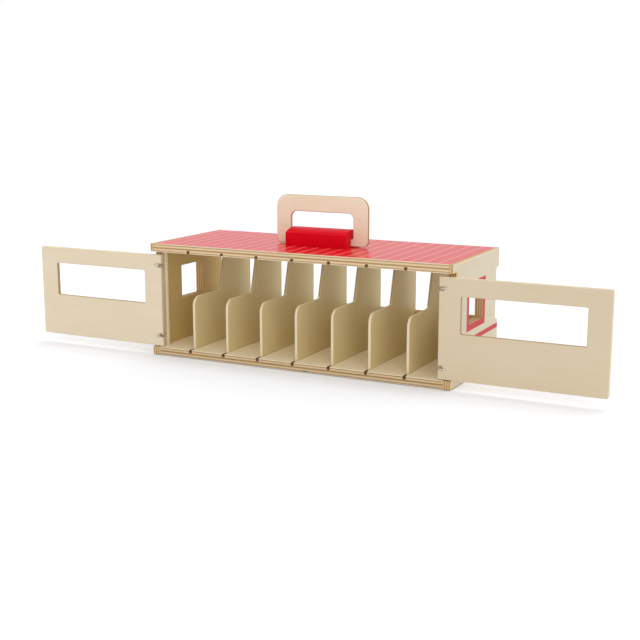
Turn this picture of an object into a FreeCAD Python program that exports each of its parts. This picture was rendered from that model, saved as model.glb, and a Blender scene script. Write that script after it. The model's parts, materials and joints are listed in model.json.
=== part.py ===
import FreeCAD, Part
import math
import os

import Sketcher

# Toy horse stable: a plywood carrying case with eight stalls, two wire-hinged doors and a folding handle.
# Frame: millimetres, +Z up, front at -Y, origin at the middle of the floor's underside.
# The doors are drawn as they stand in use, swung flat open beside the case.

doc = FreeCAD.newDocument("toy_stable")
sheet = doc.addObject("Spreadsheet::Sheet", "sizes")

# Driving sizes: name, value, what it measures
SIZES = (
    ("case_length", 355, "outside, over both end panels"),
    ("case_depth", 142, "outside, front of the floor to its back"),
    ("case_height", 125, "ground to the top of the roof"),
    ("roof_thickness", 9, "roof board"),
    ("floor_thickness", 9, "floor board"),
    ("end_thickness", 9, "end panels"),
    ("roof_lip", 4.5, "wood left outside the rabbet that holds the roof's end"),
    ("edge_ease", 0.6, "sanded edges of the boards"),
    ("end_ease", 1.2, "bevelled outer edges of the end panels"),
    ("stall_count", 8, "stalls side by side"),
    ("divider_thickness", 3, "stall dividers"),
    ("divider_gap", 1.5, "closed doors to the dividers' front edges"),
    ("partition_height", 67.5, "ground to the top of the divider's low front part"),
    ("partition_corner", 10.5, "round of the low part's front corner"),
    ("neck_foot", 62, "setback of the divider's tall part at its foot"),
    ("neck_top", 75.5, "setback of the divider's tall part under the roof"),
    ("neck_fillet", 3.5, "inner round between the low part and the tall part"),
    ("groove_depth", 3.3, "grooves for the dividers in roof and floor"),
    ("groove_clearance", 0.1, "play on each side of a divider in its groove"),
    ("groove_headroom", 0.3, "space over a divider in the roof's groove"),
    ("back_thickness", 4, "low back wall"),
    ("back_height", 41.5, "back wall above the floor"),
    ("back_recess", 8, "cut-back of the end panels' rear edges, and of the back wall"),
    ("back_recess_bottom", 48, "ground to the rear cut-back"),
    ("back_recess_drop", 12, "rear cut-back below the roof board"),
    ("door_recess", 10, "cut-back of the end panels' front edges"),
    ("recess_corner", 2.5, "rounds in the corners of the cut-backs"),
    ("end_window_width", 43.5, "window in each end panel"),
    ("end_window_height", 37.5, "window in each end panel"),
    ("end_window_drop", 21.4, "roof board down to the window's top"),
    ("end_window_shift", 1.7, "window's middle before the panel's middle"),
    ("door_thickness", 5, "doors"),
    ("door_side_gap", 0.5, "closed door to end panel"),
    ("door_middle_gap", 0.5, "between the two closed doors"),
    ("door_top_gap", 3.3, "roof board down to a door"),
    ("door_bottom_gap", 1.3, "door above the floor board"),
    ("door_setback", 2, "closed door's face behind the front of the case"),
    ("door_corner", 2, "round of the doors' corners"),
    ("door_stile", 22.3, "door beside its window"),
    ("door_top_rail", 18.2, "door above its window"),
    ("door_window_height", 37.3, "window in each door"),
    ("door_window_corner", 1.5, "round of the door windows' corners"),
    ("post_width", 4.6, "hinge post along the case"),
    ("post_depth", 5, "hinge post from front to back"),
    ("post_ease", 1, "bevel of the hinge post's inner edges"),
    ("hinge_setback", 3, "hinge axis behind the front of the case"),
    ("hinge_inset", 2.4, "hinge axis to the door's hinge edge"),
    ("hinge_from_end", 12.4, "hinge to the door's upper or lower end"),
    ("wire_diameter", 1.3, "wire of the hinge eyes and hinge wires"),
    ("wire_bend", 1, "bend radius of the hinge wires"),
    ("pin_clearance", 0.06, "radial play of a hinge wire in its eye"),
    ("pin_end", 0.5, "hinge wire past its eye"),
    ("eye_gap", 0.35, "hinge wire's arm over its eye"),
    ("eye_shank", 4.2, "eye's shank inside the post"),
    ("wire_arm", 6.2, "hinge axis to the turned-in tip of the wire"),
    ("wire_tip", 3, "turned-in tip inside the door"),
    ("wire_seat", 0.05, "play round a wire driven into wood"),
    ("drill_point", 0.4, "hole past the end of a wire or screw"),
    ("notch_clearance", 0.35, "door's notch to the eye and wire inside it"),
    ("loop_width", 110.5, "handle loop"),
    ("loop_height", 53, "handle loop"),
    ("loop_thickness", 4, "handle loop"),
    ("loop_bar", 17.75, "loop's sides and top bar"),
    ("loop_foot", 8, "loop's lower bar"),
    ("loop_top_round", 13, "loop's upper outer corners"),
    ("loop_foot_round", 6, "loop's lower outer corners"),
    ("loop_inner_round", 6.5, "upper corners of the hand hole"),
    ("loop_inner_foot_round", 1.6, "lower corners of the hand hole"),
    ("loop_ease", 0.8, "eased edges of the loop"),
    ("loop_gap", 0.8, "upright loop above the roof"),
    ("loop_turn_gap", 0.33, "turning loop to the walls of its channel"),
    ("block_end_gap", 1.25, "saddle block's ends to the loop's sides"),
    ("block_depth", 36, "saddle block over the loop's lower bar"),
    ("block_side", 14, "saddle block's straight sides, under its rounded top"),
    ("block_height", 19, "saddle block to the crown of its rounded top"),
    ("block_ease", 0.6, "eased ends of the saddle block"),
    ("screw_diameter", 3, "screws from under the roof into the block"),
    ("screw_length", 19, "screws"),
    ("screw_head", 6, "countersunk head"),
    ("screw_play", 0.1, "radial play of a screw in the roof"),
)

for row, (alias, value, meaning) in enumerate(SIZES, 1):
    sheet.set(f"A{row}", alias)
    sheet.set(f"B{row}", str(value))
    sheet.set(f"C{row}", meaning)
    sheet.setAlias(f"B{row}", alias)
doc.recompute()

# Places that several pieces share, written once as formulas of the driving sizes
HALF_LENGTH = "(sizes.case_length / 2)"
HALF_INNER = f"({HALF_LENGTH} - sizes.end_thickness)"
HALF_DEPTH = "(sizes.case_depth / 2)"
ROOF_UNDER = "(sizes.case_height - sizes.roof_thickness)"
PITCH = f"((2 * {HALF_INNER} + sizes.divider_thickness) / sizes.stall_count)"
RABBET = "(sizes.end_thickness - sizes.roof_lip)"
GROOVE_WIDTH = "(sizes.divider_thickness + 2 * sizes.groove_clearance)"
RECESS_TOP = f"({ROOF_UNDER} - sizes.back_recess_drop)"
END_WINDOW_TOP = f"({ROOF_UNDER} - sizes.end_window_drop)"
END_WINDOW_SILL = f"({END_WINDOW_TOP} - sizes.end_window_height)"
BACK_FACE = f"({HALF_DEPTH} - sizes.back_recess - sizes.back_thickness)"
DIVIDER_FRONT = "(sizes.door_setback + sizes.door_thickness + sizes.divider_gap)"
POST_X = f"({HALF_INNER} - sizes.post_width / 2)"
HINGE_X = f"({HALF_INNER} - sizes.door_side_gap - sizes.hinge_inset)"
HINGE_Y = f"(sizes.hinge_setback - {HALF_DEPTH})"
HINGE_BACK = "(sizes.door_recess - sizes.hinge_setback)"
DOOR_WIDTH = f"({HALF_INNER} - sizes.door_side_gap - sizes.door_middle_gap / 2)"
DOOR_BOTTOM = "(sizes.floor_thickness + sizes.door_bottom_gap)"
DOOR_TOP = f"({ROOF_UNDER} - sizes.door_top_gap)"
DOOR_REAR = "(sizes.hinge_setback - sizes.door_setback)"
DOOR_FACE = f"(sizes.door_thickness - {DOOR_REAR})"
HINGE_LOW = f"({DOOR_BOTTOM} + sizes.hinge_from_end)"
HINGE_HIGH = f"({DOOR_TOP} - sizes.hinge_from_end)"
WIRE_RADIUS = "(sizes.wire_diameter / 2)"
SEAT_RADIUS = f"({WIRE_RADIUS} + sizes.wire_seat)"
RING_RADIUS = "(sizes.wire_diameter + sizes.pin_clearance)"
ARM_RISE = "(sizes.wire_diameter + sizes.eye_gap)"
NOTCH_REACH = f"({RING_RADIUS} + {WIRE_RADIUS} + sizes.notch_clearance)"
NOTCH_PIN_SIDE = f"({WIRE_RADIUS} + sizes.pin_end + sizes.notch_clearance)"
NOTCH_ARM_SIDE = f"({ARM_RISE} + {WIRE_RADIUS} + sizes.notch_clearance)"
WIRE_FACE = f"({DOOR_FACE} + sizes.wire_bend)"
LOOP_AXIS = "(sizes.case_height + sizes.loop_gap + sizes.loop_foot / 2)"
LOOP_SWING = "(sqrt(sizes.loop_foot ^ 2 + sizes.loop_thickness ^ 2) / 2 + sizes.loop_turn_gap)"
SCREW_Y = f"({LOOP_SWING} / 2 + sizes.block_depth / 4)"
SCREW_X = f"({PITCH} / 2)"
HEAD_HEIGHT = "((sizes.screw_head - sizes.screw_diameter) / 2)"

RIGHT, LEFT = 1, -1
LOOSE = 0.01
OCTAGON_BEVEL = 1 - math.sqrt(0.5)
RING_SIDES = 16
WIRE_SIDES = 6


def size(formula):
    """The present value of a formula, in millimetres."""
    return float(sheet.evalExpression(formula))


def new_body(label):
    body = doc.addObject("PartDesign::Body", label)
    body.Label = label
    return body


def place(body, x="0", y="0", z="0"):
    for axis, formula in zip("xyz", (x, y, z)):
        body.setExpression(f"Placement.Base.{axis}", formula)


def new_sketch(body, name, plane, offset):
    """An empty sketch on the body's own XY, XZ or YZ plane, moved along its normal by the offset."""
    sketch = body.newObject("Sketcher::SketchObject", name)
    role = f"{plane}_Plane"
    support = next(item for item in body.Origin.OriginFeatures if item.Role == role)
    sketch.AttachmentSupport = [(support, "")]
    sketch.MapMode = "FlatFace"
    sketch.setExpression("AttachmentOffset.Base.z", offset)
    return sketch


def hold_point(sketch, item, point, x, y):
    """Bind a point of the sketch to two formulas, measured from the sketch's origin."""
    for direction, formula in (("DistanceX", x), ("DistanceY", y)):
        rule = Sketcher.Constraint(direction, -1, 1, item, point, size(formula))
        index = sketch.addConstraint(rule)
        sketch.setExpression(f"Constraints[{index}]", formula)


def outline(body, name, plane, corners, offset="0", rise=None):
    """A closed outline through the given corners, each a pair of formulas.
    With a rise, its last side is an arc that high over a level line from the last corner to the first."""
    sketch = new_sketch(body, name, plane, offset)
    points = [FreeCAD.Vector(size(x), size(y), 0) for x, y in corners]
    for start, end in zip(points, points[1:]):
        sketch.addGeometry(Part.LineSegment(start, end), False)
    if rise is None:
        sketch.addGeometry(Part.LineSegment(points[-1], points[0]), False)
    else:
        crown = (points[-1] + points[0]) / 2 + FreeCAD.Vector(0, size(rise), 0)
        sketch.addGeometry(Part.Arc(points[-1], crown, points[0]), False)
    for index, (x, y) in enumerate(corners):
        following = (index + 1) % len(corners)
        sketch.addConstraint(Sketcher.Constraint("Coincident", index, 2, following, 1))
        hold_point(sketch, index, 1, x, y)
    if rise is not None:
        radius = f"(({corners[-1][0]} - {corners[0][0]}) ^ 2 / (8 * {rise}) + {rise} / 2)"
        index = sketch.addConstraint(Sketcher.Constraint("Radius", len(corners) - 1, size(radius)))
        sketch.setExpression(f"Constraints[{index}]", radius)
    return sketch


def rectangle(body, name, plane, low, high, offset="0"):
    corners = (low, (high[0], low[1]), high, (low[0], high[1]))
    return outline(body, name, plane, corners, offset)


def circles(body, name, plane, centres, radius, offset="0"):
    sketch = new_sketch(body, name, plane, offset)
    for x, y in centres:
        centre = FreeCAD.Vector(size(x), size(y), 0)
        circle = Part.Circle(centre, FreeCAD.Vector(0, 0, 1), size(radius))
        item = sketch.addGeometry(circle, False)
        hold_point(sketch, item, 3, x, y)
        index = sketch.addConstraint(Sketcher.Constraint("Radius", item, size(radius)))
        sketch.setExpression(f"Constraints[{index}]", radius)
    return sketch


def pad(body, sketch, length, reverse=False):
    feature = body.newObject("PartDesign::Pad", "pad")
    feature.Profile = sketch
    feature.setExpression("Length", length)
    feature.Reversed = reverse
    doc.recompute()
    return feature


def pocket(body, sketch, depth=None, reverse=False):
    """Cut the sketch into the body, right through where no depth is given."""
    before = body.Shape.Volume
    feature = body.newObject("PartDesign::Pocket", "pocket")
    feature.Profile = sketch
    feature.Reversed = reverse
    if depth is None:
        feature.Type = "ThroughAll"
    else:
        feature.setExpression("Length", depth)
    doc.recompute()
    if body.Shape.Volume >= before:
        raise RuntimeError(f"{sketch.Label} in {body.Label} cuts nothing")
    return feature


def edges_of(body, wanted):
    """Names of the body's edges whose middle point and direction pass the test."""
    names = []
    for index, edge in enumerate(body.Shape.Edges, 1):
        first, last = edge.ParameterRange
        middle = edge.valueAt((first + last) / 2) - body.Placement.Base
        if wanted(middle, edge.tangentAt((first + last) / 2)):
            names.append(f"Edge{index}")
    if not names:
        raise RuntimeError(f"no such edge on {body.Label}")
    return names


def dress(body, kind, wanted, value):
    """A fillet or chamfer on the wanted edges."""
    sizes_name = {"Fillet": "Radius", "Chamfer": "Size"}[kind]
    names = edges_of(body, wanted)
    before = body.Tip
    feature = body.newObject(f"PartDesign::{kind}", kind.lower())
    feature.Base = (before, names)
    feature.setExpression(sizes_name, value)
    doc.recompute()
    return feature


def near(value, formula):
    return abs(value - size(formula)) < LOOSE


def along(direction, axis):
    return abs(abs(getattr(direction, axis)) - 1) < LOOSE


def row_of_grooves(body, sketch, reverse):
    """One groove cut into a board, repeated at every divider."""
    first = pocket(body, sketch, "sizes.groove_depth", reverse)
    pattern = body.newObject("PartDesign::LinearPattern", "grooves")
    pattern.Originals = [first]
    axis = next(item for item in body.Origin.OriginFeatures if item.Role == "X_Axis")
    pattern.Direction = (axis, [""])
    pattern.setExpression("Length", f"{PITCH} * (sizes.stall_count - 2)")
    pattern.setExpression("Occurrences", "sizes.stall_count - 1")
    body.Tip = pattern
    doc.recompute()


def groove_outline(body, offset):
    first = f"(-{PITCH} * (sizes.stall_count - 2) / 2)"
    low = (f"{first} - {GROOVE_WIDTH} / 2", f"-{HALF_DEPTH}")
    high = (f"{first} + {GROOVE_WIDTH} / 2", HALF_DEPTH)
    return rectangle(body, "groove", "XY", low, high, offset)


# Floor: a grooved board standing between the two end panels
floor = new_body("floor_panel")
floor_plan = rectangle(
    floor, "plan", "XY", (f"-{HALF_INNER}", f"-{HALF_DEPTH}"), (HALF_INNER, HALF_DEPTH))
pad(floor, floor_plan, "sizes.floor_thickness")
row_of_grooves(floor, groove_outline(floor, "sizes.floor_thickness"), False)
dress(floor, "Chamfer", lambda at, way: along(way, "x") and near(at.z, "0"), "sizes.edge_ease")

# Roof: a grooved board let into rabbets at the tops of the end panels, drilled for the saddle block's screws
SCREW_PLACES = [
    (f"{x} * {SCREW_X}", f"{y} * {SCREW_Y}") for x in (LEFT, RIGHT) for y in (-1, 1)]
roof = new_body("roof_panel")
place(roof, z=ROOF_UNDER)
roof_end = f"({HALF_LENGTH} - sizes.roof_lip)"
roof_plan = rectangle(
    roof, "plan", "XY", (f"-{roof_end}", f"-{HALF_DEPTH}"), (roof_end, HALF_DEPTH))
pad(roof, roof_plan, "sizes.roof_thickness")
row_of_grooves(roof, groove_outline(roof, "0"), True)
dress(roof, "Fillet", lambda at, way: along(way, "x") and near(at.z, "sizes.roof_thickness"),
      "sizes.edge_ease")
hole_radius = "(sizes.screw_diameter / 2 + sizes.screw_play)"
pocket(roof, circles(roof, "screw_holes", "XY", SCREW_PLACES, hole_radius), reverse=True)
dress(roof, "Chamfer",
      lambda at, way: near(at.z, "0") and near(math.hypot(abs(at.x) - size(SCREW_X), abs(at.y) - size(SCREW_Y)),
                                               hole_radius),
      HEAD_HEIGHT)


def end_panel(label, side):
    """An end board: cut back at the front for the hinges and at the rear, with a window and a rabbet."""
    panel = new_body(label)
    place(panel, x=f"{side} * {HALF_INNER}")
    front, rear = f"-{HALF_DEPTH}", HALF_DEPTH
    front_cut = f"(sizes.door_recess - {HALF_DEPTH})"
    rear_cut = f"({HALF_DEPTH} - sizes.back_recess)"
    corners = (
        (front, "0"), (rear, "0"),
        (rear, "sizes.back_recess_bottom"), (rear_cut, "sizes.back_recess_bottom"),
        (rear_cut, RECESS_TOP), (rear, RECESS_TOP),
        (rear, "sizes.case_height"), (front, "sizes.case_height"),
        (front, ROOF_UNDER), (front_cut, ROOF_UNDER),
        (front_cut, "sizes.floor_thickness"), (front, "sizes.floor_thickness"),
    )
    pad(panel, outline(panel, "side_view", "YZ", corners), "sizes.end_thickness", side == LEFT)
    rounded = [(rear_cut, "sizes.back_recess_bottom"), (rear_cut, RECESS_TOP),
               (rear, "sizes.back_recess_bottom"), (rear, RECESS_TOP),
               (front_cut, ROOF_UNDER), (front_cut, "sizes.floor_thickness")]
    dress(panel, "Fillet",
          lambda at, way: along(way, "x") and any(near(at.y, y) and near(at.z, z) for y, z in rounded),
          "sizes.recess_corner")
    outer = f"{side} * sizes.end_thickness"
    dress(panel, "Chamfer", lambda at, way: near(at.x, outer), "sizes.end_ease")
    half_window = "(sizes.end_window_width / 2)"
    window = rectangle(
        panel, "window", "YZ",
        (f"-{half_window} - sizes.end_window_shift", END_WINDOW_SILL),
        (f"{half_window} - sizes.end_window_shift", END_WINDOW_TOP))
    pocket(panel, window, reverse=side == RIGHT)
    rabbet = rectangle(panel, "rabbet", "XZ", ("0", ROOF_UNDER),
                       (f"{side} * {RABBET}", "sizes.case_height"), HALF_DEPTH)
    pocket(panel, rabbet)


end_panel("left_end_panel", LEFT)
end_panel("right_end_panel", RIGHT)

# Back wall: a low board between the end panels, behind the dividers
back = new_body("back_panel")
place(back, y=BACK_FACE, z="sizes.floor_thickness")
back_view = rectangle(back, "back_view", "XZ", (f"-{HALF_INNER}", "0"), (HALF_INNER, "sizes.back_height"))
pad(back, back_view, "sizes.back_thickness", True)
dress(back, "Fillet", lambda at, way: along(way, "x") and near(at.z, "sizes.back_height"), "sizes.edge_ease")


def divider(number):
    """A stall divider: low and wide at the front with a round shoulder, tall and leaning back behind it."""
    board = new_body(f"divider_{number}")
    centre = f"({PITCH} * ({number} - sizes.stall_count / 2))"
    place(board, x=f"{centre} - sizes.divider_thickness / 2", y=f"-{HALF_DEPTH}")
    rear = f"({BACK_FACE} + {HALF_DEPTH})"
    bottom = "(sizes.floor_thickness - sizes.groove_depth)"
    top = f"({ROOF_UNDER} + sizes.groove_depth - sizes.groove_headroom)"
    corners = (
        (DIVIDER_FRONT, bottom), (rear, bottom), (rear, top), ("sizes.neck_top", top),
        ("sizes.neck_foot", "sizes.partition_height"), (DIVIDER_FRONT, "sizes.partition_height"),
    )
    pad(board, outline(board, "side_view", "YZ", corners), "sizes.divider_thickness")
    for y, radius in ((DIVIDER_FRONT, "sizes.partition_corner"), ("sizes.neck_foot", "sizes.neck_fillet")):
        dress(board, "Fillet",
              lambda at, way: along(way, "x") and near(at.y, y) and near(at.z, "sizes.partition_height"), radius)

    def open_edge(at, way):
        shown = size("sizes.floor_thickness") < at.z < size("sizes.case_height")
        return shown and at.y < size(rear) - LOOSE and not along(way, "x")

    dress(board, "Chamfer", lambda at, way: open_edge(at, way) and at.y < size("sizes.neck_top") - LOOSE,
          "sizes.edge_ease")


for number in range(1, int(size("sizes.stall_count"))):
    divider(number)


def hinge_post(label, side):
    """A square strip glued inside the front corner, drilled for the two hinge eyes."""
    post = new_body(label)
    place(post, x=f"{side} * {POST_X}", y=f"sizes.door_recess - {HALF_DEPTH}", z="sizes.floor_thickness")
    half = "(sizes.post_width / 2)"
    pad(post, rectangle(post, "plan", "XY", (f"-{half}", "0"), (half, "sizes.post_depth")),
        f"{ROOF_UNDER} - sizes.floor_thickness")
    inner = f"-{side} * {half}"
    dress(post, "Chamfer", lambda at, way: along(way, "z") and near(at.x, inner), "sizes.post_ease")
    places = [(f"{side} * ({HINGE_X} - {POST_X})", f"{height} - sizes.floor_thickness")
              for height in (HINGE_LOW, HINGE_HIGH)]
    pocket(post, circles(post, "eye_holes", "XZ", places, SEAT_RADIUS), "sizes.eye_shank + sizes.drill_point")


hinge_post("left_hinge_post", LEFT)
hinge_post("right_hinge_post", RIGHT)


def door(label, side):
    """A door swung flat open: a board with a window, notched at its hinges and drilled for the wires' tips."""
    board = new_body(label)
    place(board, x=f"{side} * {HINGE_X}", y=HINGE_Y, z=DOOR_BOTTOM)
    hinge_edge = f"(-{side} * sizes.hinge_inset)"
    free_edge = f"({side} * ({DOOR_WIDTH} - sizes.hinge_inset))"
    height = f"({DOOR_TOP} - {DOOR_BOTTOM})"
    plate = rectangle(board, "front_view", "XZ", (hinge_edge, "0"), (free_edge, height), f"-{DOOR_REAR}")
    pad(board, plate, "sizes.door_thickness")
    dress(board, "Fillet", lambda at, way: along(way, "y") and near(at.x, free_edge), "sizes.door_corner")
    window_top = f"({height} - sizes.door_top_rail)"
    window_near = f"({hinge_edge} + {side} * sizes.door_stile)"
    window_far = f"({free_edge} - {side} * sizes.door_stile)"
    window = rectangle(
        board, "window", "XZ", (window_near, f"{window_top} - sizes.door_window_height"),
        (window_far, window_top), DOOR_FACE)
    pocket(board, window)
    dress(board, "Fillet",
          lambda at, way: along(way, "y") and any(near(at.x, x) for x in (window_near, window_far)),
          "sizes.door_window_corner")
    for name, middle, upward in (
            ("low_notch", "sizes.hinge_from_end", -1), ("high_notch", f"({height} - sizes.hinge_from_end)", 1)):
        notch = rectangle(
            board, name, "XZ", (hinge_edge, f"{middle} - {upward} * {NOTCH_PIN_SIDE}"),
            (f"{side} * {NOTCH_REACH}", f"{middle} + {upward} * {NOTCH_ARM_SIDE}"), DOOR_FACE)
        pocket(board, notch)
    faces = (f"-{DOOR_FACE}", DOOR_REAR)
    dress(board, "Chamfer", lambda at, way: any(near(at.y, y) for y in faces), "sizes.edge_ease")
    tips = [(f"{side} * sizes.wire_arm", f"sizes.hinge_from_end - {ARM_RISE}"),
            (f"{side} * sizes.wire_arm", f"{height} - sizes.hinge_from_end + {ARM_RISE}")]
    pocket(board, circles(board, "tip_holes", "XZ", tips, SEAT_RADIUS, DOOR_FACE),
           "sizes.wire_tip + sizes.drill_point")


door("left_door", LEFT)
door("right_door", RIGHT)


def hinge_eye(label, side, height):
    """A wire ring with a round bore on a straight shank driven into the hinge post, drawn with few sides."""
    ring = doc.addObject("Part::Prism", f"{label}_ring")
    ring.Polygon = RING_SIDES
    ring.setExpression("Circumradius", f"{RING_RADIUS} + {WIRE_RADIUS}")
    ring.setExpression("Height", "sizes.wire_diameter")
    ring.setExpression("Placement.Base.z", f"-{WIRE_RADIUS}")
    shank = doc.addObject("Part::Prism", f"{label}_shank")
    shank.Polygon = WIRE_SIDES
    shank.setExpression("Circumradius", WIRE_RADIUS)
    shank.setExpression("Height", f"{HINGE_BACK} + sizes.eye_shank - {RING_RADIUS}")
    shank.Placement.Rotation = FreeCAD.Rotation(FreeCAD.Vector(1, 0, 0), -90)
    shank.setExpression("Placement.Base.y", RING_RADIUS)
    bore = doc.addObject("Part::Cylinder", f"{label}_bore")
    bore.setExpression("Radius", f"{RING_RADIUS} - {WIRE_RADIUS}")
    bore.setExpression("Height", "2 * sizes.wire_diameter")
    bore.setExpression("Placement.Base.z", "-sizes.wire_diameter")
    drilled = doc.addObject("Part::Cut", f"{label}_drilled")
    drilled.Base, drilled.Tool = ring, bore
    doc.recompute()
    bevel = size("sizes.wire_diameter") * OCTAGON_BEVEL
    bevelled = doc.addObject("Part::Chamfer", f"{label}_bevelled")
    bevelled.Base = drilled
    rims = [index for index, edge in enumerate(drilled.Shape.Edges, 1)
            if len(edge.Vertexes) == 2 and edge.BoundBox.ZLength < LOOSE]
    bevelled.Edges = [(index, bevel, bevel) for index in rims]
    eye = doc.addObject("Part::Fuse", label)
    eye.Label = label
    eye.Base, eye.Tool = bevelled, shank
    place(eye, x=f"{side} * {HINGE_X}", y=HINGE_Y, z=height)
    return eye


def bent_wire(points, bend, radius):
    """A wire along straight runs, with an arc of the bend radius at each inner point, drawn with few sides."""
    runs = []
    start = points[0]
    for before, corner, after in zip(points, points[1:], points[2:]):
        back_way = (before - corner).normalize()
        on_way = (after - corner).normalize()
        arc_start = corner + back_way * bend
        arc_end = corner + on_way * bend
        centre = corner + (back_way + on_way) * bend
        arc_middle = centre + (corner - centre).normalize() * bend
        runs.append(Part.LineSegment(start, arc_start).toShape())
        runs.append(Part.Arc(arc_start, arc_middle, arc_end).toShape())
        start = arc_end
    runs.append(Part.LineSegment(start, points[-1]).toShape())
    turns = [2 * math.pi * step / WIRE_SIDES for step in range(WIRE_SIDES + 1)]
    rim = [points[0] + FreeCAD.Vector(math.cos(turn), math.sin(turn), 0) * radius for turn in turns]
    return Part.Wire(runs).makePipeShell([Part.makePolygon(rim)], True, False)


def hinge_wire(label, side, height, upward):
    """A bent wire: a pin through the eye, an arm round the door's edge and a tip turned into the door."""
    radius = size(WIRE_RADIUS)
    arm_rise = upward * size(ARM_RISE)
    pin_end = -upward * (radius + size("sizes.pin_end"))
    face = -size(WIRE_FACE)
    reach = side * size("sizes.wire_arm")
    tip = size("sizes.wire_tip") - size(DOOR_FACE)
    route = [
        FreeCAD.Vector(0, 0, pin_end),
        FreeCAD.Vector(0, 0, arm_rise),
        FreeCAD.Vector(0, face, arm_rise),
        FreeCAD.Vector(reach, face, arm_rise),
        FreeCAD.Vector(reach, tip, arm_rise),
    ]
    wire = doc.addObject("Part::Feature", label)
    wire.Label = label
    wire.Shape = bent_wire(route, size("sizes.wire_bend"), radius)
    place(wire, x=f"{side} * {HINGE_X}", y=HINGE_Y, z=height)
    return wire


for side_name, side in (("left", LEFT), ("right", RIGHT)):
    for level_name, level, upward in (("lower", HINGE_LOW, -1), ("upper", HINGE_HIGH, 1)):
        hinge_eye(f"{side_name}_{level_name}_hinge_eye", side, level)
        hinge_wire(f"{side_name}_{level_name}_hinge_wire", side, level, upward)

# Handle loop: a flat plywood ring that turns about its lower bar
loop = new_body("handle_loop")
place(loop, z=LOOP_AXIS)
half_loop = "(sizes.loop_width / 2)"
half_hole = f"({half_loop} - sizes.loop_bar)"
loop_bottom = "(-sizes.loop_foot / 2)"
loop_top = f"({loop_bottom} + sizes.loop_height)"
hole_top = f"({loop_top} - sizes.loop_bar)"
hole_bottom = "(sizes.loop_foot / 2)"
loop_front = "(sizes.loop_thickness / 2)"
loop_view = rectangle(loop, "front_view", "XZ", (f"-{half_loop}", loop_bottom), (half_loop, loop_top), loop_front)
pad(loop, loop_view, "sizes.loop_thickness", True)
hand_hole = rectangle(loop, "hand_hole", "XZ", (f"-{half_hole}", hole_bottom), (half_hole, hole_top), loop_front)
pocket(loop, hand_hole)
for half, level, radius in (
        (half_loop, loop_top, "sizes.loop_top_round"), (half_loop, loop_bottom, "sizes.loop_foot_round"),
        (half_hole, hole_top, "sizes.loop_inner_round"), (half_hole, hole_bottom, "sizes.loop_inner_foot_round")):
    dress(loop, "Fillet",
          lambda at, way: along(way, "y") and near(abs(at.x), half) and near(at.z, level), radius)
dress(loop, "Chamfer", lambda at, way: near(abs(at.y), loop_front), "sizes.loop_ease")

# Saddle block: a round-topped bar with a channel underneath for the loop's lower bar, screwed on from below
block = new_body("handle_block")
place(block, z="sizes.case_height")
half_length, half_depth = f"({half_hole} - sizes.block_end_gap)", "(sizes.block_depth / 2)"
block_corners = ((f"-{half_depth}", "sizes.block_side"), (f"-{half_depth}", "0"),
                 (half_depth, "0"), (half_depth, "sizes.block_side"))
block_rise = "(sizes.block_height - sizes.block_side)"
pad(block, outline(block, "end_view", "YZ", block_corners, f"-{half_length}", block_rise), f"2 * {half_length}")
dress(block, "Chamfer", lambda at, way: near(abs(at.x), half_length) and at.z > LOOSE, "sizes.block_ease")
channel_top = f"({LOOP_AXIS} - sizes.case_height + {LOOP_SWING})"
channel = rectangle(block, "channel", "YZ", (f"-{LOOP_SWING}", "0"), (LOOP_SWING, channel_top), half_length)
pocket(block, channel)
screw_hole = "(sizes.screw_diameter / 2 + sizes.wire_seat)"
screw_reach = "(sizes.screw_length - sizes.roof_thickness + sizes.drill_point)"
pocket(block, circles(block, "screw_holes", "XY", SCREW_PLACES, screw_hole), screw_reach, True)


def screw(index, x, y):
    """A countersunk screw standing on its head under the roof, its shank drawn with few sides."""
    head = doc.addObject("Part::Cone", f"screw_head_{index}")
    head.setExpression("Radius1", "sizes.screw_head / 2")
    head.setExpression("Radius2", "sizes.screw_diameter / 2")
    head.setExpression("Height", HEAD_HEIGHT)
    shank = doc.addObject("Part::Prism", f"screw_shank_{index}")
    shank.Polygon = WIRE_SIDES
    shank.setExpression("Circumradius", "sizes.screw_diameter / 2")
    shank.setExpression("Height", "sizes.screw_length")
    whole = doc.addObject("Part::Fuse", f"screw_{index}")
    whole.Base, whole.Tool = head, shank
    place(whole, x=x, y=y, z=ROOF_UNDER)
    return whole


screws = doc.addObject("Part::Compound", "handle_screws")
screws.Label = "handle_screws"
screws.Links = [screw(index, x, y) for index, (x, y) in enumerate(SCREW_PLACES, 1)]
doc.recompute()

# Every piece is checked before any is written
used = {part for item in doc.Objects for part in item.OutList}
pieces = [item for item in doc.Objects
          if item.TypeId == "PartDesign::Body"
          or (item.TypeId in ("Part::Fuse", "Part::Feature", "Part::Compound") and item not in used)]
for item in doc.Objects:
    if any(state in ("Invalid", "Error") for state in item.State):
        raise RuntimeError(f"{item.Label} failed: {item.State}")
for piece in pieces:
    if piece.Shape.isNull() or not piece.Shape.isValid():
        raise RuntimeError(f"{piece.Label} has no valid shape")

os.makedirs("parts", exist_ok=True)
for piece in pieces:
    piece.Shape.exportStep(f"parts/{piece.Label}.step")
print(len(pieces), "pieces written")
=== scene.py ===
import json
import math

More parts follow.
